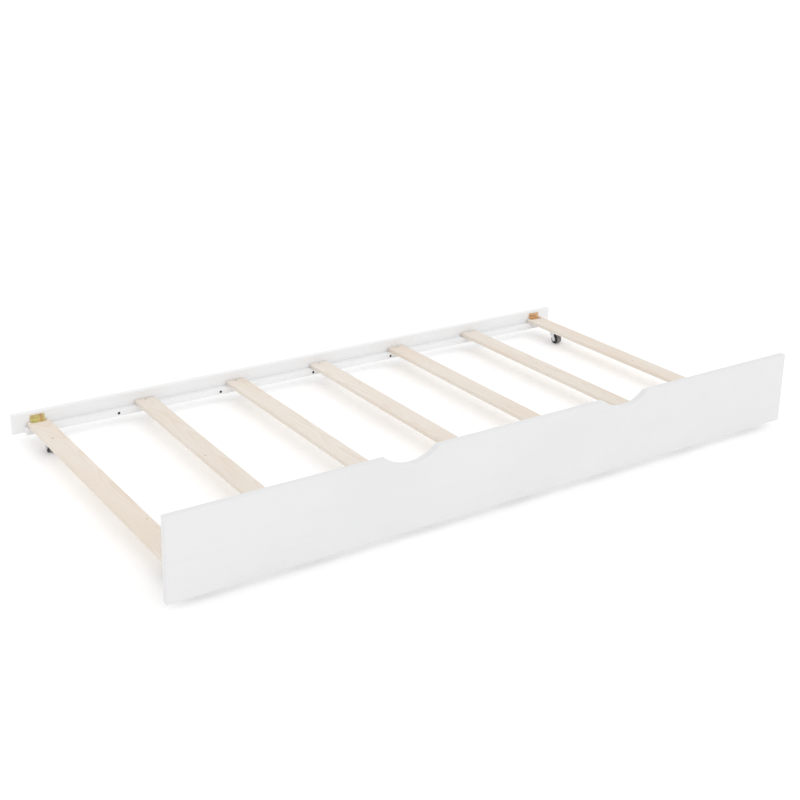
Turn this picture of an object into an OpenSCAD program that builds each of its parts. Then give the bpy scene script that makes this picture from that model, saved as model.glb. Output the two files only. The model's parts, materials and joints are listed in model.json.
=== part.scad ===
// Low trundle bed on four swivel casters: a front panel with two hand pulls, a low rear
// rail, a cleat along the inside of each, seven slats across the cleats, and a corner
// bracket at both ends of each end slat.
// Origin: middle of the footprint, on the floor. +X runs along the front panel, the
// panel's outer face looks towards -Y, and +Z is up.

/* [Overall] */
// Length of the bed along its front panel
bed_l = 1892; // [1600:1:2100]
// Depth of the bed, from the panel's outer face to the rail's outer face
bed_w = 1017; // [800:1:1200]
// Height of the panel's top edge above the floor
bed_h = 218; // [170:1:260]
// Gap between the floor and the panel's bottom edge
floor_gap = 19; // [17:0.5:24]

/* [Front panel] */
// Thickness of the panel
panel_t = 18; // [15:0.5:25]
// Distance from the panel's middle to the middle of each hand pull
pull_x = 332; // [200:1:500]
// Half the length of a hand pull's arc where it meets the top edge
pull_half_l = 73; // [60:1:100]
// Depth of a hand pull below the top edge
pull_depth = 28.5; // [20:0.5:40]
// Radius that rounds each shoulder of a hand pull
shoulder_r = 9; // [4:0.5:15]

/* [Rear rail and cleats] */
// Thickness of the rear rail
rail_t = 17; // [15:0.5:25]
// Height of the rear rail
rail_h = 54; // [48:1:80]
// Height of the rail's bottom edge above the panel's bottom edge
rail_lift = 7; // [5:0.5:8]
// How far each end of the rail stops short of the panel's end
rail_inset = 7; // [0:0.5:15]
// Depth of a cleat, front to back
cleat_d = 23; // [20:0.5:30]
// Height of a cleat
cleat_h = 17; // [16:0.5:18]
// How far each end of a cleat stops short of the panel's end
cleat_inset = 38; // [20:1:44]
// Radius along the long edges of the rail and the cleats
rail_edge_r = 1.5; // [0.5:0.25:3]

/* [Slats] */
// Width of a slat
slat_w = 58; // [50:1:70]
// Thickness of a slat
slat_t = 12; // [12:0.5:14]
// Distance from the middle of one slat to the next, when evenly spread
slat_pitch = 290; // [240:1:300]
// Gap between a slat's end and the panel or the rail
slat_gap = 1.5; // [0.5:0.5:4]
// Radius along the long edges of a slat
slat_edge_r = 1.5; // [0.5:0.25:3]

/* [Corner brackets] */
// Width of a bracket along the rail
bracket_w = 40; // [36:1:50]
// Length of each leg of a bracket
bracket_leg = 17; // [16:0.5:19]
// Thickness of a bracket's sheet
bracket_t = 2; // [2:0.25:2.5]
// Radius of a bracket's bend, on the side that faces the corner
bend_r = 3.5; // [3:0.25:4]

/* [Casters] */
// Diameter of a wheel over its tyre
wheel_d = 32; // [30:0.5:32]
// Width of the tyre
tyre_w = 20; // [16:0.5:22]
// Distance of the axle from the swivel's axis
trail = 12; // [11:0.5:14]
// Distance from the middle of the bed's depth to a swivel's axis
caster_y = 380; // [250:1:400]

/* [Hidden] */
$fn = 96;
fit = 0.05;          // radial clearance between a shank, pin or hub and its hole
past = 1;            // how far a cutter reaches past the face that it opens

panel_z = floor_gap;
panel_h = bed_h - floor_gap;
panel_back_y = -bed_w / 2 + panel_t;
rail_front_y = bed_w / 2 - rail_t;
rail_z = floor_gap + rail_lift;
slat_z = rail_z + cleat_h;
slat_top = slat_z + slat_t;
slat_l = rail_front_y - panel_back_y - 2 * slat_gap;
slat_y = (rail_front_y + panel_back_y) / 2;

// Hand pulls: one large arc, whose centre lies above the top edge
pull_r = (pull_half_l * pull_half_l + pull_depth * pull_depth) / (2 * pull_depth);
pull_rise = pull_r - pull_depth;
shoulder_x = sqrt(pow(pull_r + shoulder_r, 2) - pow(pull_rise + shoulder_r, 2));
pull_tilt = atan2(pull_rise + shoulder_r, shoulder_x);  // of the line between the arcs' centres

// Slats were placed by hand: how far each lies from its even place, and how far it is turned
slats = 7;
slat_nudge = [0, 10, 14, 9, 7, 7, 0];
slat_turn = [0, -1, 0, 0, 0, 0, 0];

// Wood screws, with a countersunk head twice as wide as the shank
head_land = 0.3;     // straight edge round a head, above its cone
cleat_screw_l = 35;
cleat_screw_r = 2;
cleat_screw_sink = 1;
cleat_screw_x = [-880, -647, -333, -20, 264, 600, 880];
slat_screw_l = 25;
slat_screw_r = 1.75;
slat_screw_sink = 0.4;
slat_screw_in = 10;  // from the rail or the panel to a slat screw
bracket_screw_l = 12;
bracket_screw_r = 1.6;
bracket_screw_x = 13;
bracket_screw_up = 9.5;
bracket_corner_r = 2;

// Caster, from its mounting plate down to the floor
wheel_r = wheel_d / 2;
plate_x = 44;
plate_y = 38;
plate_t = 1.6;
plate_corner_r = 3;
plate_z = slat_z - plate_t;
boss_r = 11;
boss_drop = 2.2;     // boss below the plate's underside
boss_z = plate_z - boss_drop;
pocket_r = 7;
pocket_depth = 2;
balls = 12;
ball_ring_r = 8.5;
ball_r = 1.6;
ball_play = 0.1;
leg_t = 1.6;
leg_gap = tyre_w + 2.4;  // between the fork's two legs
leg_end_r = 7.5;
crown_r = leg_gap / 2 + leg_t + 3.2;
crown_t = 1.6;
crown_top = boss_z - 2 * (ball_r + ball_play);
crown_z = crown_top - crown_t;
leg_half_y = sqrt(pow(crown_r, 2) - pow(leg_gap / 2 + leg_t, 2));
rim_t = 1.2;
rim_top = boss_z + 0.2;
pin_r = 2.5;
pin_head_r = 6;
pin_head_t = 1.7;
rivet_r = 4.5;
rivet_t = 1.2;
pin_play = 0.1;      // end play of the fork on its pin
axle_r = 2;
axle_head_r = 3.5;
axle_head_t = 1.1;
hub_r = 9;
hub_w = leg_gap - 1;
hub_dish_r = 7.5;
hub_dish = 1.2;
hub_boss_r = 4;
tread_edge_r = 2.5;
plate_screw_l = 9;
plate_screw_r = 1.4;
plate_screw_head_r = 2.9;
plate_screw_head_t = 1.5;
plate_screw_x = 17;
plate_screw_y = 14;

// Corners, with the side of the bed that each lies on
corners = ["rear_left", "rear_right", "front_left", "front_right"];
corner_side = [[-1, 1], [1, 1], [-1, -1], [1, -1]];
swivel_turn = [180, 0, 180, 0];  // how far each caster has swung from trailing towards -Y
caster_pieces = ["plate", "plate_screws", "kingpin", "balls", "fork", "axle", "hub", "tyre"];

// ---- Places ----

function slat_x(i) = (i - (slats + 1) / 2) * slat_pitch + slat_nudge[i - 1];
function end_slat(side) = side < 0 ? 1 : slats;

module on_slat(i) {
    translate([slat_x(i), slat_y, 0]) rotate([0, 0, slat_turn[i - 1]]) children();
}

// Mirrors its children to the front when side is -1, about the middle of the slats
module to_side(side) {
    if (side > 0) children();
    else translate([0, 2 * slat_y, 0]) mirror([0, 1, 0]) children();
}

// Corner between an end slat's top and the rail or the panel, with the wall towards +Y
module at_bracket(k) {
    side = corner_side[k];
    to_side(side[1]) translate([slat_x(end_slat(side[0])), rail_front_y, slat_top]) children();
}

// Swivel axis of a caster, at floor level
module at_caster(k) {
    side = corner_side[k];
    translate([slat_x(end_slat(side[0])), side[1] * caster_y, 0]) children();
}

// The same, turned with the caster's fork
module at_swivel(k) {
    at_caster(k) rotate([0, 0, swivel_turn[k]]) children();
}

// ---- Shared shapes ----

// Bar along X with its long edges rounded, its lowest front corner at the origin
module bar_x(l, d, h, r) {
    rotate([90, 0, 90]) linear_extrude(l) rounded_square(d, h, r);
}

module rounded_square(x, y, r) {
    translate([r, 0]) square([x - 2 * r, y]);
    translate([0, r]) square([x, y - 2 * r]);
    for (u = [r, x - r]) for (v = [r, y - r]) translate([u, v]) circle(r);
}

// Countersunk wood screw that points down, its head's top at z = 0. With grow above 0 it
// is the hole that takes the screw.
module wood_screw(l, r, grow = 0) {
    head_r = 2 * r;
    cone_z = -head_land - r;
    if (grow > 0) {
        rotate_extrude() polygon([
            [0, past], [head_r + grow, past], [head_r + grow, -head_land], [r + grow, cone_z],
            [r + grow, -l - grow], [0, -l - grow]
        ]);
    } else {
        difference() {
            rotate_extrude() polygon([
                [0, 0], [head_r, 0], [head_r, -head_land], [r, cone_z], [r, 2 * r - l], [0, -l]
            ]);
            cross_recess(r);
        }
    }
}

module cross_recess(r) {
    for (a = [0, 90]) rotate([0, 0, a]) cube([2.4 * r, 0.55 * r, 1.6 * r], center = true);
}

// ---- Fasteners ----

module cleat_screws(side, grow = 0) {
    to_side(side)
        for (x = cleat_screw_x)
            translate([x, rail_front_y - cleat_d + cleat_screw_sink, rail_z + cleat_h / 2])
                rotate([90, 0, 0]) wood_screw(cleat_screw_l, cleat_screw_r, grow);
}

// One screw through the end of each slat that has no bracket
module slat_screws(side, grow = 0) {
    for (i = [2 : slats - 1])
        on_slat(i)
            translate([0, side * (slat_l / 2 + slat_gap - slat_screw_in), slat_top - slat_screw_sink])
                wood_screw(slat_screw_l, slat_screw_r, grow);
}

module bracket_screws(k, grow = 0) {
    at_bracket(k)
        for (x = [-bracket_screw_x, bracket_screw_x]) {
            translate([x, -bracket_t, bracket_screw_up])
                rotate([90, 0, 0]) wood_screw(bracket_screw_l, bracket_screw_r, grow);
            translate([x, -bracket_screw_up, bracket_t])
                wood_screw(bracket_screw_l, bracket_screw_r, grow);
        }
}

// Pan-head screws that hold a caster's plate from below
module plate_screws(k, grow = 0) {
    at_caster(k)
        for (x = [-plate_screw_x, plate_screw_x]) for (y = [-plate_screw_y, plate_screw_y])
            translate([x, y, plate_z]) pan_screw(grow);
}

module pan_screw(grow) {
    cylinder(h = plate_screw_l + grow, r = plate_screw_r + grow);
    if (grow == 0)
        difference() {
            rotate([180, 0, 0]) pan_head();
            translate([0, 0, -plate_screw_head_t]) cross_recess(plate_screw_r);
        }
}

module pan_head() {
    edge = plate_screw_head_t / 2;
    cylinder(h = edge, r = plate_screw_head_r);
    translate([0, 0, edge]) cylinder(h = edge, r1 = plate_screw_head_r, r2 = plate_screw_head_r - edge);
}

// ---- Front panel, rail and cleats ----

module front_panel() {
    color("white")
    difference() {
        translate([-bed_l / 2, -bed_w / 2, panel_z]) cube([bed_l, panel_t, panel_h]);
        for (s = [-1, 1]) translate([s * pull_x, panel_back_y, bed_h]) hand_pull();
        cleat_screws(-1, fit);
        for (k = [2, 3]) bracket_screws(k, fit);
    }
}

// Cutter for one hand pull, with the panel's top edge at z = 0 and its back face at y = 0
module hand_pull() {
    translate([0, past, 0]) rotate([90, 0, 0]) linear_extrude(panel_t + 2 * past)
        polygon(concat(
            [[-shoulder_x, past]],
            arc([-shoulder_x, -shoulder_r], shoulder_r, 90, pull_tilt, 8),
            arc([0, pull_rise], pull_r, 180 + pull_tilt, 360 - pull_tilt, 36),
            arc([shoulder_x, -shoulder_r], shoulder_r, 180 - pull_tilt, 90, 8),
            [[shoulder_x, past]]
        ));
}

function arc(c, r, a0, a1, n) =
    [for (i = [0 : n]) let (a = a0 + (a1 - a0) * i / n) c + r * [cos(a), sin(a)]];

module rear_rail() {
    color("white")
    difference() {
        translate([-bed_l / 2 + rail_inset, rail_front_y, rail_z])
            bar_x(bed_l - 2 * rail_inset, rail_t, rail_h, rail_edge_r);
        cleat_screws(1, fit);
        for (k = [0, 1]) bracket_screws(k, fit);
    }
}

module cleat(side) {
    color("white")
    difference() {
        to_side(side)
            translate([-bed_l / 2 + cleat_inset, rail_front_y - cleat_d, rail_z])
                bar_x(bed_l - 2 * cleat_inset, cleat_d, cleat_h, rail_edge_r);
        cleat_screws(side, fit);
        slat_screws(side, fit);
    }
}

// ---- Slats ----

module slat(i) {
    color("burlywood")
    difference() {
        on_slat(i)
            translate([slat_w / 2, -slat_l / 2, slat_z])
                rotate([0, 0, 90]) bar_x(slat_l, slat_w, slat_t, slat_edge_r);
        if (i == 1 || i == slats) {
            for (k = [0 : 3]) bracket_screws(k, fit);
            for (k = [0 : 3]) plate_screws(k, fit);
        } else {
            for (side = [-1, 1]) slat_screws(side, fit);
        }
    }
}

// ---- Corner brackets ----

module bracket(k) {
    color("goldenrod")
    difference() {
        at_bracket(k) {
            translate([0, 0, bend_r]) rotate([90, 0, 0]) bracket_leg_plate();
            translate([0, -bend_r, bracket_t]) rotate([180, 0, 0]) bracket_leg_plate();
            bracket_bend();
        }
        bracket_screws(k, fit);
    }
}

// Flat of one leg, from the bend to its rounded end
module bracket_leg_plate() {
    l = bracket_leg - bend_r;
    r = bracket_corner_r;
    linear_extrude(bracket_t) {
        translate([-bracket_w / 2, 0]) square([bracket_w, l - r]);
        translate([-bracket_w / 2 + r, 0]) square([bracket_w - 2 * r, l]);
        for (s = [-1, 1]) translate([s * (bracket_w / 2 - r), l - r]) circle(r);
    }
}

module bracket_bend() {
    translate([-bracket_w / 2, -bend_r, bend_r]) rotate([0, 90, 0])
        intersection() {
            difference() {
                cylinder(h = bracket_w, r = bend_r);
                translate([0, 0, -past]) cylinder(h = bracket_w + 2 * past, r = bend_r - bracket_t);
            }
            cube([bend_r, bend_r, bracket_w]);
        }
}

// ---- Casters ----

module plate(k) {
    color("silver")
    difference() {
        at_caster(k)
            difference() {
                union() {
                    translate([-plate_x / 2, -plate_y / 2, plate_z])
                        linear_extrude(plate_t) rounded_square(plate_x, plate_y, plate_corner_r);
                    translate([0, 0, boss_z]) cylinder(h = boss_drop + plate_t / 2, r = boss_r);
                }
                translate([0, 0, slat_z - pocket_depth]) cylinder(h = pocket_depth + past, r = pocket_r);
                translate([0, 0, boss_z - past]) cylinder(h = plate_t + boss_drop + past, r = pin_r + fit);
            }
        plate_screws(k, fit);
    }
}

// Pin that the fork turns on: a wide head in the plate's pocket and a rivet head below the crown
module kingpin(k) {
    head_z = slat_z - pocket_depth + fit;
    rivet_z = crown_z - pin_play - rivet_t;
    color("silver")
    at_caster(k) {
        translate([0, 0, rivet_z]) cylinder(h = head_z + pin_head_t - rivet_z, r = pin_r);
        translate([0, 0, head_z]) cylinder(h = pin_head_t, r = pin_head_r);
        translate([0, 0, rivet_z]) cylinder(h = rivet_t, r = rivet_r);
    }
}

module ball_ring(k) {
    color("lightgray")
    at_swivel(k)
        for (n = [0 : balls - 1]) rotate([0, 0, n * 360 / balls])
            translate([ball_ring_r, 0, crown_top + ball_play + ball_r]) sphere(ball_r);
}

module fork(k) {
    color("silver")
    at_swivel(k)
        difference() {
            union() {
                translate([0, 0, crown_z]) cylinder(h = crown_t, r = crown_r);
                translate([0, 0, crown_z])
                    difference() {
                        cylinder(h = rim_top - crown_z, r = crown_r);
                        translate([0, 0, -past])
                            cylinder(h = rim_top - crown_z + 2 * past, r = crown_r - rim_t);
                    }
                for (x = [leg_gap / 2, -leg_gap / 2 - leg_t])
                    translate([x, 0, 0]) rotate([90, 0, 90]) linear_extrude(leg_t) leg_outline();
            }
            translate([0, 0, crown_z - past]) cylinder(h = crown_t + 2 * past, r = pin_r + fit);
            axle_line(leg_gap + 4 * leg_t, axle_r + fit);
        }
}

// Side view of a leg: its two straight edges run from the crown to touch the round end
module leg_outline() {
    end = [-trail, wheel_r];
    front = [-leg_half_y, crown_top];
    back = [leg_half_y, crown_top];
    polygon([front, tangent(front, end, leg_end_r, 1), tangent(back, end, leg_end_r, -1), back]);
    translate(end) circle(leg_end_r);
}

// Point where a line from p touches the circle at c of radius r
function tangent(p, c, r, turn) =
    let (a = atan2(p[1] - c[1], p[0] - c[0]) + turn * acos(r / norm(p - c)))
    c + r * [cos(a), sin(a)];

// Cylinder along the axle, centred on the wheel
module axle_line(l, r) {
    translate([-l / 2, -trail, wheel_r]) rotate([0, 90, 0]) cylinder(h = l, r = r);
}

module axle(k) {
    outer = leg_gap + 2 * leg_t;
    color("silver")
    at_swivel(k) {
        axle_line(outer, axle_r);
        for (x = [-outer / 2 - axle_head_t, outer / 2])
            translate([x, -trail, wheel_r]) rotate([0, 90, 0]) cylinder(h = axle_head_t, r = axle_head_r);
    }
}

// Wheel centre, dished on both sides round a small boss
module hub(k) {
    color("dimgray")
    at_swivel(k)
        difference() {
            axle_line(hub_w, hub_r);
            for (s = [-1, 1])
                translate([s * hub_w / 2, 0, 0])
                    difference() {
                        axle_line(2 * hub_dish, hub_dish_r);
                        axle_line(4 * hub_dish, hub_boss_r);
                    }
            axle_line(hub_w + 2 * past, axle_r + fit);
        }
}

module tyre(k) {
    inner = hub_r + fit;
    color("black")
    at_swivel(k) translate([-tyre_w / 2, -trail, wheel_r]) rotate([0, 90, 0])
        rotate_extrude() {
            translate([inner, 0]) square([wheel_r - tread_edge_r - inner, tyre_w]);
            translate([inner, tread_edge_r]) square([wheel_r - inner, tyre_w - 2 * tread_edge_r]);
            for (v = [tread_edge_r, tyre_w - tread_edge_r])
                translate([wheel_r - tread_edge_r, v]) circle(tread_edge_r);
        }
}

// ---- Nodes ----

front_panel();
cleat(-1);  // front_cleat
rear_rail();
cleat(1);  // rear_cleat
color("dimgray") cleat_screws(-1);  // front_cleat_screws
color("dimgray") cleat_screws(1);  // rear_cleat_screws
color("silver") slat_screws(-1);  // front_slat_screws
color("silver") slat_screws(1);  // rear_slat_screws
for (i = [1 : slats]) slat(i);
for (k = [0 : 3]) {
    name = corners[k];
    bracket(k);
    color("goldenrod") bracket_screws(k);
    plate(k);
    color("silver") plate_screws(k);
    kingpin(k);
    ball_ring(k);
    fork(k);
    axle(k);
    hub(k);
    tyre(k);
}
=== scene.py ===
# Looks of a low trundle bed: painted boards, pine slats, plated brackets and small swivel
# casters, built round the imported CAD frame. Metres, +Z up, the panel's face towards -Y.

import json
import math
import random

import bmesh
import bpy
from mathutils import Euler, Matrix, Vector


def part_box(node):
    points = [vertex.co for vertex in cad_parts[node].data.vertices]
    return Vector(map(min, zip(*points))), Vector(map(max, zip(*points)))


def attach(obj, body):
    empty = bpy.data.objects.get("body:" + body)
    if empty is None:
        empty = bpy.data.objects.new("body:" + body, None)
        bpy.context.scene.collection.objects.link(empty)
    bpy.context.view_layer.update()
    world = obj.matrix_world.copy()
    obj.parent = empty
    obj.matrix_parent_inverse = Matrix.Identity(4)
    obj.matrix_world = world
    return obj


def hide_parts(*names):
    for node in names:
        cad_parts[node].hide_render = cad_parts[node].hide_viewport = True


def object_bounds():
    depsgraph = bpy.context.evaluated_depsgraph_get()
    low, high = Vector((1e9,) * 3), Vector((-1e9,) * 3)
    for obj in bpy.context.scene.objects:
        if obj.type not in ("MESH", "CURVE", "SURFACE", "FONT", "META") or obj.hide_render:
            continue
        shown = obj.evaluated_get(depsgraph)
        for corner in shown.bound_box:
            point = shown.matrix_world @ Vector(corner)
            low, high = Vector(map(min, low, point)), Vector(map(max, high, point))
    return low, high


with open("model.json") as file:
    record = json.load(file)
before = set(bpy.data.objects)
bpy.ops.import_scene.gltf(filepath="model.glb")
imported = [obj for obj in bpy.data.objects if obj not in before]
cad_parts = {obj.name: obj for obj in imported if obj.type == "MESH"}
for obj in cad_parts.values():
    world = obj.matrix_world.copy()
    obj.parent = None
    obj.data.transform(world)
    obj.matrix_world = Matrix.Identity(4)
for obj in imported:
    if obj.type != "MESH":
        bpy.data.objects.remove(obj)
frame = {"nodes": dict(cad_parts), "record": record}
cad_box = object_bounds()

RECORD = frame["record"]
BODY_OF = {n: body for body, nodes in RECORD["behaviour"]["bodies"].items() for n in nodes}
SLOT_OF = {part["node"]: part["material_slot"] for part in RECORD["subparts"]}
CORNERS = ("rear_left", "rear_right", "front_left", "front_right")
MM = 0.001
SQUARE_MM = MM * MM


# ---- Materials ----

MIX_SHARE, MIX_A, MIX_B = 0, 6, 7  # the Mix node's inputs for colours
MIX_RESULT = 2  # and its output


class Finish:
    """A Principled material, and short calls that add the nodes behind it."""

    def __init__(self, name, **constants):
        self.material = bpy.data.materials.new(name)
        self.material.use_nodes = True
        self.tree = self.material.node_tree
        self.shader = self.tree.nodes["Principled BSDF"]
        self.coordinates = self.add("ShaderNodeTexCoord")
        self.place = self.coordinates.outputs["Object"]
        for socket, value in constants.items():
            self.set(socket.replace("_", " "), value)

    def add(self, kind, inputs=None, **settings):
        node = self.tree.nodes.new(kind)
        for name, value in settings.items():
            setattr(node, name, value)
        for socket, value in (inputs or {}).items():
            self.join(node.inputs[socket], value)
        return node

    def join(self, socket, value):
        if isinstance(value, bpy.types.NodeSocket):
            self.tree.links.new(value, socket)
        else:
            socket.default_value = value

    def set(self, socket, value):
        self.join(self.shader.inputs[socket], value)

    def stretched(self, scale, shift=(0, 0, 0)):
        """The object's coordinates, moved by shift, then scaled along each axis."""
        return self.vector("MULTIPLY", self.vector("ADD", self.place, shift), scale)

    def vector(self, operation, a, b):
        node = self.add("ShaderNodeVectorMath", {0: a, 1: b}, operation=operation)
        single = operation in ("DOT_PRODUCT", "DISTANCE")
        return node.outputs["Value" if single else "Vector"]

    def number(self, operation, a, b=0.0):
        return self.add("ShaderNodeMath", {0: a, 1: b}, operation=operation).outputs[0]

    def noise(self, scale, detail, roughness=0.55, of=None, output="Fac"):
        inputs = {"Vector": of or self.place, "Scale": scale, "Detail": detail, "Roughness": roughness}
        return self.add("ShaderNodeTexNoise", inputs).outputs[output]

    def cells(self, scale, output="Color"):
        inputs = {"Vector": self.place, "Scale": scale}
        return self.add("ShaderNodeTexVoronoi", inputs).outputs[output]

    def ranged(self, value, low, high, to_low=0.0, to_high=1.0):
        """value from low to high, as to_low to to_high, with a smooth start and end."""
        inputs = {"Value": value, "From Min": low, "From Max": high, "To Min": to_low, "To Max": to_high}
        return self.add("ShaderNodeMapRange", inputs, interpolation_type="SMOOTHSTEP").outputs[0]

    def mixed(self, share, a, b, blend="MIX"):
        """Colour a, turning into colour b as share goes from 0 to 1."""
        colours = [c if isinstance(c, bpy.types.NodeSocket) else (*c, 1.0) for c in (a, b)]
        inputs = {MIX_SHARE: share, MIX_A: colours[0], MIX_B: colours[1]}
        node = self.add("ShaderNodeMix", inputs, data_type="RGBA", blend_type=blend)
        return node.outputs[MIX_RESULT]

    def ramp(self, value, stops):
        """A curve through (place, height) stops."""
        node = self.add("ShaderNodeValToRGB", {"Fac": value})
        elements = node.color_ramp.elements
        while len(elements) < len(stops):
            elements.new(1.0)
        for element, (at, height) in zip(elements, stops):
            element.position = at
            element.color = (height, height, height, 1.0)
        return node.outputs["Color"]

    def edges(self, radius):
        """1 along convex and concave edges, and 0 on flats."""
        rounded = self.add("ShaderNodeBevel", {"Radius": radius}, samples=6).outputs["Normal"]
        true = self.add("ShaderNodeNewGeometry").outputs["Normal"]
        return self.ranged(self.vector("DOT_PRODUCT", rounded, true), 0.99, 0.8)

    def bump(self, *heights):
        """Layers of (height, depth in metres), each on top of the one before."""
        normal = None
        for height, depth in heights:
            inputs = {"Height": height, "Distance": depth, "Strength": 1.0}
            node = self.add("ShaderNodeBump", inputs)
            if normal:
                self.join(node.inputs["Normal"], normal)
            normal = node.outputs["Normal"]
        self.set("Normal", normal)


def white_paint(name, tone, grain_depth):
    """Satin white paint: faint orange peel, roller streaks along X, and grain where it shows through."""
    paint = Finish(name)
    bare_wood = (0.62, 0.6, 0.56)
    streaks = paint.noise(1.0, 4, of=paint.stretched((3, 60, 160)))
    cloud = paint.noise(3.5, 3)
    base = paint.mixed(paint.ranged(cloud, 0.35, 0.65), tone, [c * 0.98 for c in tone])
    base = paint.mixed(paint.ranged(streaks, 0.4, 0.75, 0, 0.3), base, [c * 0.96 for c in tone])
    worn = paint.number("MULTIPLY", paint.edges(1.6 * MM), paint.ranged(paint.noise(90, 4), 0.5, 0.7))
    base = paint.mixed(paint.number("MULTIPLY", worn, 0.35), base, bare_wood)
    paint.set("Base Color", base)
    paint.set("Roughness", paint.ranged(paint.noise(14, 5), 0.3, 0.7, 0.36, 0.48))
    peel = paint.noise(520, 2)
    nibs = paint.ranged(paint.cells(160, "Distance"), 0.0, 0.1, 1, 0)
    grain = paint.noise(1.0, 4, of=paint.stretched((9, 700, 700)))
    paint.bump((grain, grain_depth), (streaks, 0.04 * MM), (peel, 0.05 * MM), (nibs, 0.03 * MM))
    return paint.material


class Knot:
    """A knot in a slat, from its shares of the slat's length and width, with its radius in metres."""

    def __init__(self, along, across, radius):
        self.along = along
        self.across = across
        self.radius = radius

    def centre(self, low, high):
        """Its x and y in a slat whose box runs from low to high."""
        x = low.x + (high.x - low.x) * self.across
        y = low.y + (high.y - low.y) * self.along
        return x, y


SEED_STEP = 11
KNOTS = {
    "slat_1": [Knot(0.86, 0.42, 3.5 * MM), Knot(0.3, 0.75, 2.5 * MM)],
    "slat_2": [Knot(0.55, 0.3, 3 * MM)],
    "slat_3": [Knot(0.22, 0.6, 2.5 * MM)],
    "slat_4": [Knot(0.78, 0.7, 3 * MM)],
    "slat_5": [Knot(0.4, 0.25, 2 * MM)],
    "slat_6": [Knot(0.64, 0.55, 3.5 * MM)],
    "slat_7": [Knot(0.5, 0.35, 2.5 * MM)],
}


def pine(slat, seed):
    """Planed pine whose growth rings run through the whole slat, round a pith outside it."""
    wood = Finish(f"pine_{slat}")
    low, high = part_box(slat)
    chance = random.Random(seed)
    drift = tuple(chance.uniform(-20, 20) for _ in range(3))
    aside = chance.choice((-1, 1)) * chance.uniform(8, 30) * MM
    below = chance.uniform(30, 60) * MM
    pith = ((low.x + high.x) / 2 + aside, 0.0, low.z - below)
    ring_width = chance.uniform(2.6, 3.8) * MM
    tone = chance.uniform(0.97, 1.02)
    early_wood = [c * tone for c in (0.8, 0.745, 0.68)]
    warm_wood = [c * tone for c in (0.775, 0.69, 0.6)]
    late_wood = (0.66, 0.54, 0.42)
    fibre_wood = (0.62, 0.53, 0.43)
    pore_wood = (0.45, 0.35, 0.25)
    knot_wood = (0.45, 0.3, 0.18)
    end_wood = (0.52, 0.41, 0.3)
    sawn_wood = (0.84, 0.78, 0.7)

    sway = 0.05
    wander = wood.noise(1.0, 2, of=wood.stretched((5, 1.6, 5), drift), output="Color")
    wander = wood.vector("MULTIPLY", wood.vector("SUBTRACT", wander, (0.5, 0.5, 0.5)), (sway, 0, sway))
    bent = wood.vector("ADD", wood.place, wander)
    radius = wood.vector("DISTANCE", wood.vector("MULTIPLY", bent, (1, 0, 1)), pith)

    knots = 0.0
    knot_width = 0.6  # as a share of its length along the slat
    flat = wood.vector("MULTIPLY", bent, (1, knot_width, 0))
    for knot in KNOTS[slat]:
        x, y = knot.centre(low, high)
        away = wood.vector("DISTANCE", flat, (x, knot_width * y, 0))
        radius = wood.number("ADD", radius, wood.ranged(away, 0, 7 * knot.radius, 9 * MM, 0))
        knots = wood.number("MAXIMUM", knots, wood.ranged(away, knot.radius, 0.55 * knot.radius))

    ring = wood.number("FRACT", wood.number("DIVIDE", radius, ring_width))
    late = wood.ramp(ring, [(0, 0.1), (0.5, 0.15), (0.84, 1.0), (0.94, 0.9), (1.0, 0.1)])
    fibre = wood.noise(1.0, 5, 0.6, of=wood.stretched((850, 14, 850), drift))
    blotch = wood.noise(1.0, 3, of=wood.stretched((14, 3.5, 14), drift))
    pores = wood.ranged(wood.noise(1.0, 2, of=wood.stretched((1500, 45, 1500), drift)), 0.66, 0.74)

    base = wood.mixed(wood.ranged(blotch, 0.35, 0.68), early_wood, warm_wood)
    base = wood.mixed(wood.number("MULTIPLY", late, 0.34), base, late_wood)
    base = wood.mixed(wood.ranged(fibre, 0.45, 0.75, 0, 0.26), base, fibre_wood)
    base = wood.mixed(wood.number("MULTIPLY", pores, 0.3), base, pore_wood)
    base = wood.mixed(wood.number("MULTIPLY", knots, 0.6), base, knot_wood)
    facing = wood.vector("DOT_PRODUCT", wood.coordinates.outputs["Normal"], (0, 1, 0))
    end = wood.ranged(wood.number("ABSOLUTE", facing), 0.6, 0.9)
    base = wood.mixed(wood.number("MULTIPLY", end, 0.4), base, end_wood)
    sawn = wood.number("MULTIPLY", wood.edges(1.2 * MM), wood.ranged(wood.noise(130, 3), 0.45, 0.7))
    base = wood.mixed(wood.number("MULTIPLY", sawn, 0.5), base, sawn_wood)
    wood.set("Base Color", base)
    wood.set("Roughness", wood.ranged(late, 0, 1, 0.68, 0.54))
    wood.bump((fibre, 0.12 * MM), (late, 0.06 * MM), (pores, -0.05 * MM))
    return wood.material


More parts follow.
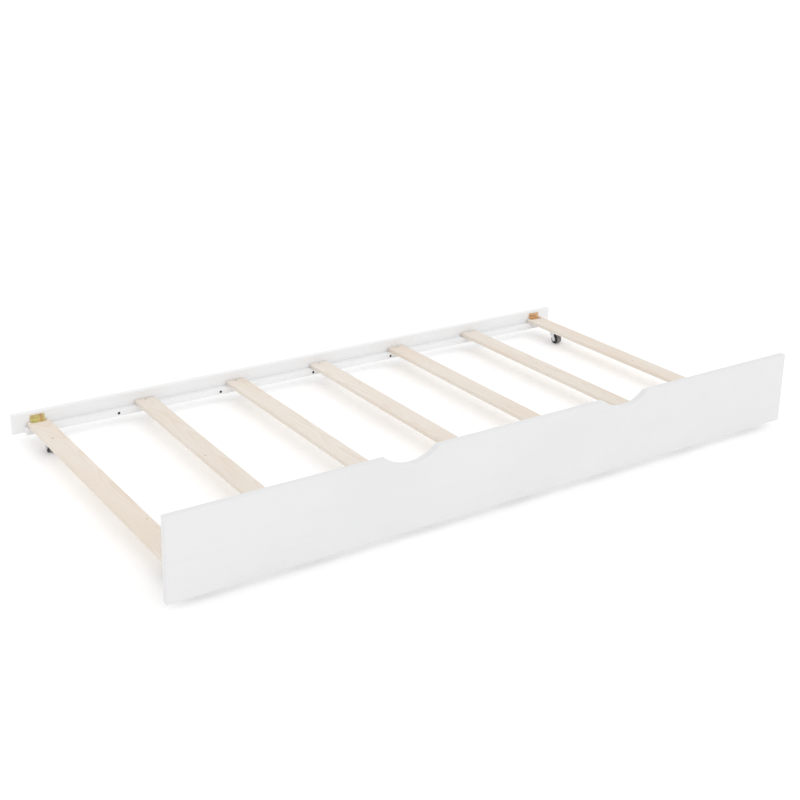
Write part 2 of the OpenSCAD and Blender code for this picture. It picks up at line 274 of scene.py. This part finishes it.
def plated(name, tones, roughness, worn=(0.8, 0.81, 0.83), wear=0.5):
    """Plated steel that clouds from one tone to the next, with rolling marks and tinted worn edges."""
    metal = Finish(name, Metallic=1.0)
    cloud = metal.noise(90, 2, 0.5)
    first, *later = tones
    base = first
    for step, tone in enumerate(later):
        start = 0.3 + 0.26 * step / len(later)
        base = metal.mixed(metal.ranged(cloud, start, start + 0.2), base, tone)
    marks = metal.noise(1.0, 3, of=metal.stretched((90, 3200, 3200)))
    spangle = metal.cells(2200)
    base = metal.mixed(metal.ranged(marks, 0.45, 0.75, 0, 0.25), base, [c * 0.7 for c in first])
    base = metal.mixed(0.07, base, spangle, "MULTIPLY")
    rub = metal.number("MULTIPLY", metal.edges(0.5 * MM), metal.ranged(metal.noise(600, 3), 0.4, 0.6))
    base = metal.mixed(metal.number("MULTIPLY", rub, wear), base, worn)
    metal.set("Base Color", base)
    metal.set("Roughness", metal.ranged(cloud, 0.3, 0.7, roughness - 0.06, roughness + 0.1))
    metal.bump((marks, 0.01 * MM), (metal.noise(900, 2), 0.012 * MM))
    return metal.material


def black_phosphate():
    """Matt black screw finish, rubbed to grey steel round the driver's recess."""
    metal = Finish("black_phosphate", Metallic=0.8)
    black, charcoal, bare_steel = (0.022, 0.022, 0.024), (0.05, 0.048, 0.05), (0.3, 0.3, 0.31)
    rub = metal.number("MULTIPLY", metal.edges(0.4 * MM), metal.ranged(metal.noise(900, 3), 0.45, 0.65))
    base = metal.mixed(metal.ranged(metal.noise(1400, 3), 0.3, 0.7), black, charcoal)
    metal.set("Base Color", metal.mixed(metal.number("MULTIPLY", rub, 0.5), base, bare_steel))
    metal.set("Roughness", metal.ranged(metal.noise(800, 3), 0.3, 0.7, 0.45, 0.62))
    metal.bump((metal.noise(2500, 3), 0.015 * MM))
    return metal.material


def rubber():
    """Black tyre, with grey floor dust and a painted highlight along the middle of its tread, and fine
    scuffs.
    """
    tyre = Finish("rubber", Specular_IOR_Level=0.45)
    # The light grey is floor dust and also a painted highlight of the lit middle of the tread.
    black, dust_and_highlight_grey, scuffed = (0.02, 0.02, 0.021), (0.3, 0.295, 0.29), (0.07, 0.07, 0.07)
    facing = tyre.vector("DOT_PRODUCT", tyre.coordinates.outputs["Normal"], (1, 0, 0))
    tread = tyre.ranged(tyre.number("ABSOLUTE", facing), 0.5, 0.02)
    dust_and_highlight = tyre.ranged(tyre.noise(260, 5, 0.65), 0.25, 0.55)
    scuffs = tyre.noise(1.0, 4, of=tyre.stretched((700, 2400, 2400)))
    # The tread's middle turns light grey here: partly dust, partly a painted highlight.
    worn = tyre.number("MULTIPLY", dust_and_highlight, tyre.number("MULTIPLY", tread, 0.85))
    base = tyre.mixed(worn, black, dust_and_highlight_grey)
    base = tyre.mixed(tyre.ranged(scuffs, 0.55, 0.75, 0, 0.3), base, scuffed)
    tyre.set("Base Color", base)
    tyre.set("Roughness", tyre.ranged(dust_and_highlight, 0, 1, 0.42, 0.7))
    tyre.bump((scuffs, 0.02 * MM), (tyre.noise(2200, 2), 0.015 * MM))
    return tyre.material


def moulded_plastic():
    """Dark grey nylon with a fine spark-eroded texture."""
    plastic = Finish("moulded_plastic")
    dark, light, rubbed = (0.06, 0.06, 0.064), (0.085, 0.085, 0.088), (0.2, 0.2, 0.205)
    flow = plastic.ranged(plastic.noise(220, 3), 0.35, 0.65)
    base = plastic.mixed(flow, dark, light)
    rub = plastic.number("MULTIPLY", plastic.edges(0.4 * MM), 0.4)
    plastic.set("Base Color", plastic.mixed(rub, base, rubbed))
    plastic.set("Roughness", plastic.ranged(plastic.noise(500, 4), 0.3, 0.7, 0.4, 0.55))
    plastic.bump((plastic.noise(3200, 2), 0.02 * MM))
    return plastic.material


GOLD = (0.74, 0.62, 0.34)
OLIVE = (0.7, 0.66, 0.33)
COPPER = (0.72, 0.46, 0.29)
BRONZE = (0.6, 0.4, 0.24)
GOLD_PLATE = plated("yellow_zinc_gold", (BRONZE, GOLD, OLIVE), 0.3, worn=(0.5, 0.33, 0.24))
COPPER_PLATE = plated("yellow_zinc_copper", (BRONZE, COPPER, COPPER, GOLD), 0.3, worn=(0.5, 0.33, 0.27))
BRACKET_PLATE = {
    "rear_left": GOLD_PLATE, "front_left": COPPER_PLATE,
    "rear_right": COPPER_PLATE, "front_right": GOLD_PLATE,
}
STEELS = ((0.5, 0.51, 0.53), (0.68, 0.69, 0.71), (0.76, 0.77, 0.79))
BALL_STEELS = ((0.55, 0.53, 0.5), (0.72, 0.72, 0.73))
SCREW_STEELS = ((0.46, 0.46, 0.47), (0.66, 0.66, 0.67))
FINISHES = {
    "painted_panel": white_paint("panel_paint", (0.75, 0.75, 0.758), 0.01 * MM),
    # The rail and cleats get a lighter white than the panel: painted light that offsets the shade they sit
    # in behind the slats.
    "painted_rail": white_paint("rail_paint_lightened", (0.84, 0.84, 0.845), 0.06 * MM),
    "zinc_plate": plated("zinc_plate", STEELS, 0.26),
    "bearing_steel": plated("bearing_steel", BALL_STEELS, 0.14, wear=0.0),
    "zinc_screws": plated("zinc_screws", SCREW_STEELS, 0.32),
    "black_screws": black_phosphate(),
    "wheel_hub": moulded_plastic(),
    "wheel_tyre": rubber(),
}


def finish_of(node):
    """The material of a CAD node, or of the piece that stands for it."""
    slot = SLOT_OF[node]
    if slot == "pine":
        return pine(node, seed=SEED_STEP * int(node.removeprefix("slat_")))
    if slot == "yellow_zinc":
        corner = next(c for c in CORNERS if node.startswith(c))
        return BRACKET_PLATE[corner]
    return FINISHES[slot]


# ---- Pieces ----

WELD = 0.002 * MM  # points this close are one point
FLAT = math.radians(0.6)  # faces this close to one plane are one face
CREASE = math.radians(32)  # an edge that turns by more is sharp
SLIVER = 5 * SQUARE_MM  # a board's edge next to a smaller face isn't rounded
PANEL_EASE = 1.3 * MM
BOARD_EASE = 0.7 * MM
SHEET_EASE = 0.25 * MM
FORK_EASE = 0.3 * MM
RIB_EASE = 0.15 * MM
RIBS = 6
TYRE_STEPS = 72
TYRE_GAP = 0.05 * MM


def add_piece(name, form, node, replaces=True):
    """A piece made from bmesh form, which rides with a CAD node, has its finish and may stand for it."""
    mesh = bpy.data.meshes.new(name)
    form.to_mesh(mesh)
    form.free()
    mesh.materials.append(finish_of(node))
    piece = bpy.data.objects.new(name, mesh)
    bpy.context.scene.collection.objects.link(piece)
    weighted = piece.modifiers.new("weighted_normal", "WEIGHTED_NORMAL")
    weighted.keep_sharp = True
    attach(piece, BODY_OF[node])
    if replaces:
        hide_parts(node)


def shade(form):
    """Smooth faces, split along creases."""
    form.normal_update()
    for face in form.faces:
        face.smooth = True
    for edge in form.edges:
        edge.smooth = edge.is_manifold and edge.calc_face_angle(0) < CREASE


def bevel(form, edges, width, segments):
    bmesh.ops.bevel(
        form, geom=edges, offset=width, offset_type="OFFSET", segments=segments, profile=0.5,
        affect="EDGES", clamp_overlap=True,
    )


def ease_edges(node, width, segments, least_face=0.0):
    """Stands for a CAD node in the same shape, its sharp edges rounded where both faces pass least_face."""
    form = bmesh.new()
    source = frame["nodes"][node].data
    points = [form.verts.new(vertex.co) for vertex in source.vertices]
    for polygon in source.polygons:
        try:
            form.faces.new([points[i] for i in polygon.vertices])
        except ValueError:
            continue
    bmesh.ops.remove_doubles(form, verts=form.verts[:], dist=WELD)
    bmesh.ops.dissolve_limit(form, angle_limit=FLAT, verts=form.verts[:], edges=form.edges[:])
    form.normal_update()
    sharp = [
        edge for edge in form.edges
        if edge.is_manifold and edge.calc_face_angle(0) > CREASE
        and min(face.calc_area() for face in edge.link_faces) > least_face
    ]
    bevel(form, sharp, width, segments)
    shade(form)
    add_piece(f"{node}_eased", form, node)


def lathe(profile, centre):
    """A closed ring: a profile of (along X, radius) points turned round the X axis through centre."""
    form = bmesh.new()
    rings = []
    for step in range(TYRE_STEPS):
        turn = 2 * math.pi * step / TYRE_STEPS
        out = Vector((0, math.cos(turn), math.sin(turn)))
        rings.append([form.verts.new(centre + Vector((x, 0, 0)) + out * r) for x, r in profile])
    for a, b in zip(rings, rings[1:] + rings[:1]):
        for i in range(len(profile)):
            j = (i + 1) % len(profile)
            form.faces.new((a[i], a[j], b[j], b[i]))
    bmesh.ops.recalc_face_normals(form, faces=form.faces[:])
    return form


def add_tyre(corner):
    """Tyre with round shoulders, a moulding line round its tread and a groove on each side."""
    node = f"{corner}_tyre"
    low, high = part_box(node)
    centre = (low + high) / 2
    hub_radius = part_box(f"{corner}_hub")[1].z - centre.z
    inner = hub_radius + TYRE_GAP
    outer = high.z - centre.z
    half = (high.x - low.x) / 2
    shoulder = 2.5 * MM
    seam_width, seam_height = 0.35 * MM, 0.15 * MM
    groove_out, groove_in, groove_slope = outer - 3.2 * MM, outer - 4.4 * MM, 0.3 * MM
    groove_floor = half - 0.35 * MM
    chamfer = 0.4 * MM
    arc_steps = 8
    arc = [
        (half - shoulder + shoulder * math.sin(a), outer - seam_height - shoulder + shoulder * math.cos(a))
        for a in (math.radians(90 * i / arc_steps) for i in range(arc_steps + 1))
    ]
    half_profile = [(0.0, outer), (seam_width, outer - seam_height)] + arc
    half_profile += [
        (half, groove_out), (groove_floor, groove_out - groove_slope),
        (groove_floor, groove_in), (half, groove_in - groove_slope),
        (half, inner + chamfer), (half - chamfer, inner),
    ]
    profile = half_profile + [(-x, r) for x, r in reversed(half_profile[1:])]
    form = lathe(profile, centre)
    shade(form)
    add_piece(f"{corner}_tyre_moulded", form, node)


def add_hub_ribs(corner):
    """Thin ribs in the dish on both sides of a wheel's hub."""
    node = f"{corner}_hub"
    low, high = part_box(node)
    centre = (low + high) / 2
    half = (high.x - low.x) / 2
    inner, outer = 3.8 * MM, 7.7 * MM
    thick, depth, sunk = 0.9 * MM, 1.4 * MM, 0.3 * MM
    form = bmesh.new()
    for side in (-1, 1):
        for rib in range(RIBS):
            turn = Matrix.Rotation(2 * math.pi * rib / RIBS, 4, "X")
            middle = Vector((side * (half - sunk - depth / 2), 0, (inner + outer) / 2))
            size = Matrix.Diagonal((depth, thick, outer - inner, 1))
            place = Matrix.Translation(centre) @ turn @ Matrix.Translation(middle) @ size
            bmesh.ops.create_cube(form, size=1, matrix=place)
    bevel(form, form.edges[:], RIB_EASE, 2)
    shade(form)
    add_piece(f"{corner}_hub_ribs", form, node, replaces=False)


def build():
    ease_edges("front_panel", PANEL_EASE, 4, least_face=SLIVER)
    boards = ["rear_rail", "front_cleat", "rear_cleat"] + sorted(KNOTS)
    for board in boards:
        ease_edges(board, BOARD_EASE, 3, least_face=SLIVER)
    for corner in CORNERS:
        ease_edges(f"{corner}_bracket", SHEET_EASE, 2)
        ease_edges(f"{corner}_plate", SHEET_EASE, 2)
        ease_edges(f"{corner}_fork", FORK_EASE, 2)
        ease_edges(f"{corner}_hub", SHEET_EASE, 2)
        add_hub_ribs(corner)
        add_tyre(corner)
    for name, node in frame["nodes"].items():
        if not node.hide_render:
            node.material_slots[0].material = finish_of(name)


# ---- Studio ----

FLOOR_REACH = 60.0
CAMERA_PLACE = (-1.8898, -2.693, 1.4238)
CAMERA_AZIMUTH = math.radians(34.628)
CAMERA_ELEVATION = math.radians(16.554)
CAMERA_ROLL = math.radians(1.328)
LENS_MM = 57.602
SENSOR_MM = 36.0
LENS_SHIFT = -0.15


def add_floor():
    form = bmesh.new()
    bmesh.ops.create_grid(form, x_segments=1, y_segments=1, size=FLOOR_REACH)
    mesh = bpy.data.meshes.new("floor")
    form.to_mesh(mesh)
    form.free()
    floor = bpy.data.objects.new("floor", mesh)
    floor.location.z = cad_box[0].z
    finish = Finish("floor", Roughness=0.9, Specular_IOR_Level=0.1, Emission_Strength=0.1)
    finish.set("Emission Color", (1.0, 1.0, 1.0, 1.0))
    mottle = finish.ranged(finish.noise(2.0, 4), 0.3, 0.7)
    finish.set("Base Color", finish.mixed(mottle, (0.93, 0.93, 0.93), (0.96, 0.96, 0.96)))
    mesh.materials.append(finish.material)
    bpy.context.scene.collection.objects.link(floor)


def add_softbox(name, towards, spread, power):
    """Even light from one side of the studio, as from a far softbox that spans spread degrees."""
    data = bpy.data.lights.new(name, "SUN")
    data.angle = math.radians(spread)
    data.energy = power
    light = bpy.data.objects.new(name, data)
    light.rotation_euler = (-Vector(towards)).to_track_quat("-Z", "Y").to_euler()
    bpy.context.scene.collection.objects.link(light)


def add_world():
    world = bpy.data.worlds.new("studio")
    world.use_nodes = True
    background = world.node_tree.nodes["Background"]
    background.inputs["Color"].default_value = (1.0, 1.0, 1.0, 1.0)
    background.inputs["Strength"].default_value = 1.0
    bpy.context.scene.world = world


def add_camera():
    data = bpy.data.cameras.new("camera")
    data.sensor_width = SENSOR_MM
    data.lens = LENS_MM
    data.shift_y = LENS_SHIFT
    data.clip_end = 200.0
    camera = bpy.data.objects.new("camera", data)
    camera.location = CAMERA_PLACE
    turn = Euler((math.pi / 2 - CAMERA_ELEVATION, 0, -CAMERA_AZIMUTH)).to_matrix()
    camera.rotation_euler = (turn @ Matrix.Rotation(CAMERA_ROLL, 3, "Z")).to_euler()
    bpy.context.scene.collection.objects.link(camera)
    bpy.context.scene.camera = camera


def studio():
    add_floor()
    add_world()
    add_softbox("key", towards=(0.35, -0.8, 0.9), spread=70, power=0.35)
    add_camera()
    bpy.context.scene.view_settings.view_transform = "Standard"


build()
studio()
